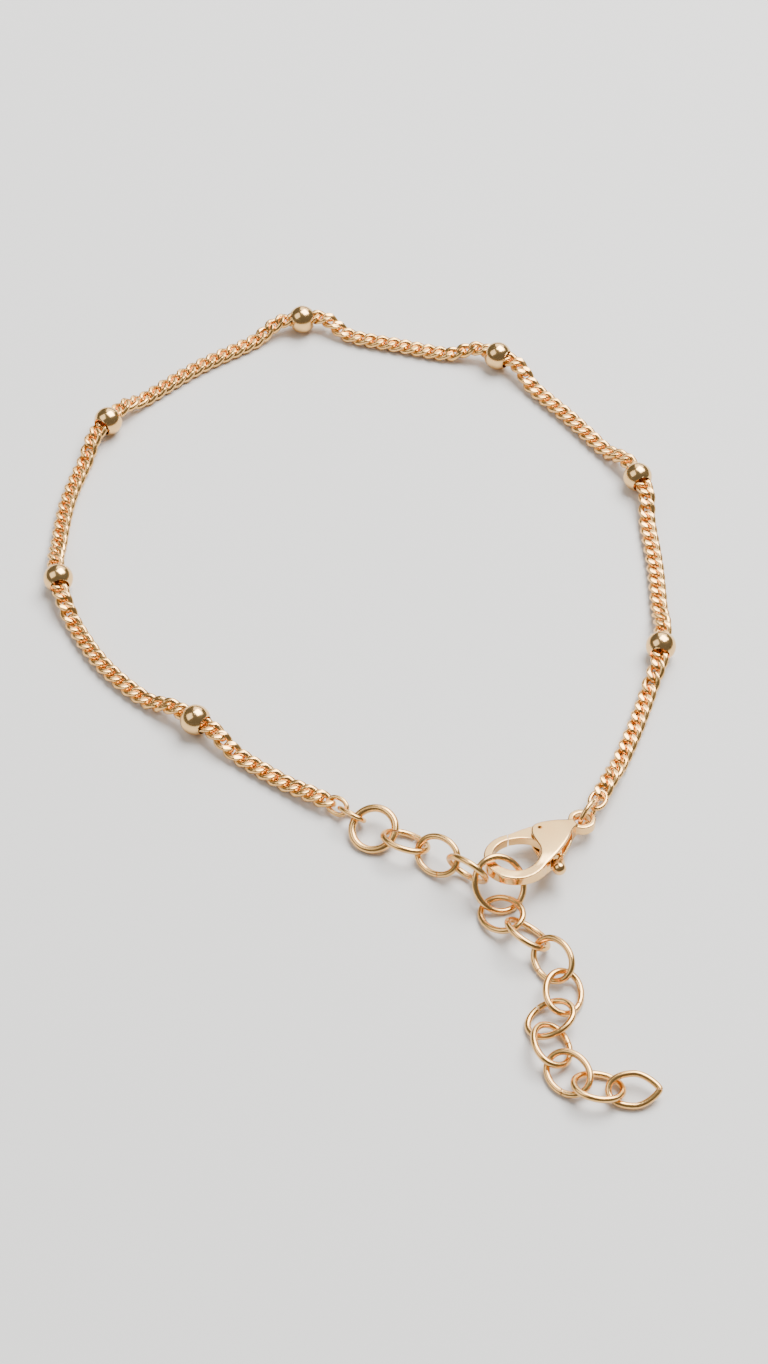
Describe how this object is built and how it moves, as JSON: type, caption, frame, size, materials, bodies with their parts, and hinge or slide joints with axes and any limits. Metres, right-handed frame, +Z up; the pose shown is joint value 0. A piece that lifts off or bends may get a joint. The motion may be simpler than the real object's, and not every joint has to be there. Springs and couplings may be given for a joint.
{
  "type": "bead chain bracelet",
  "caption": "Fine gold-coloured curb chain bracelet with round beads spaced along it, a lobster clasp and an extender of oval links, laid fastened on a surface.",
  "frame": {"origin": "middle of the bracelet's footprint, on the surface that it lies on", "axes": "+Z up from the surface, +Y from the clasp's side of the loop to the far side, +X to the right"},
  "size_m": [0.0524, 0.0838, 0.0036],
  "materials": {
    "gold_polished": "polished",
    "gold_wire": "bright satin"
  },
  "bodies": {
    "bracelet": {"curb_chain_right": "gold_wire", "curb_chain_left": "gold_wire", "bead_1": "gold_polished", "bead_2": "gold_polished", "bead_3": "gold_polished", "bead_4": "gold_polished", "bead_5": "gold_polished", "bead_6": "gold_polished", "bead_7": "gold_polished", "clasp_body": "gold_polished", "clasp_ring": "gold_wire", "end_link": "gold_wire", "jump_ring": "gold_wire", "extender_01": "gold_wire", "extender_02": "gold_wire", "extender_03": "gold_wire", "extender_04": "gold_wire", "extender_05": "gold_wire", "extender_06": "gold_wire", "extender_07": "gold_wire", "extender_08": "gold_wire", "extender_09": "gold_wire", "extender_10": "gold_wire", "extender_11": "gold_wire", "extender_12": "gold_wire", "extender_13": "gold_wire"},
    "lever": {"clasp_lever": "gold_polished"}
  },
  "joints": [
    {"name": "lever_hinge", "type": "hinge", "parent": "bracelet", "child": "lever", "pos_m": [0.01429, -0.01828, 0.00145], "axis": [0.0031, 0.1711, 0.9853], "range_deg": [0, 25], "stiffness_Nm_per_rad": 0.006}
  ]
}
